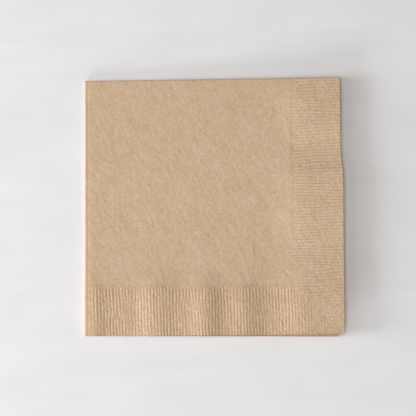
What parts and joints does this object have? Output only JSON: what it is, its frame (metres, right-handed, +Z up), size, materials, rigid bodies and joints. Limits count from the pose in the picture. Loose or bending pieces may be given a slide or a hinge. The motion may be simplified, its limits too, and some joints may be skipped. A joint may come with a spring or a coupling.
{
  "type": "paper napkin",
  "caption": "Square kraft paper beverage napkin, folded in quarters, with ribbed embossing along its open edges.",
  "frame": {"origin": "under the middle of the box, on the surface that the napkin lies on", "axes": "+Z up out of the top leaf, first fold along +Y, second fold along -X, open edges along -Y and +X"},
  "size_m": [0.129, 0.1286, 0.0032],
  "materials": {
    "kraft_tissue": "matt unbleached tissue, embossed"
  },
  "bodies": {
    "root": {"napkin": "kraft_tissue"}
  },
  "joints": []
}
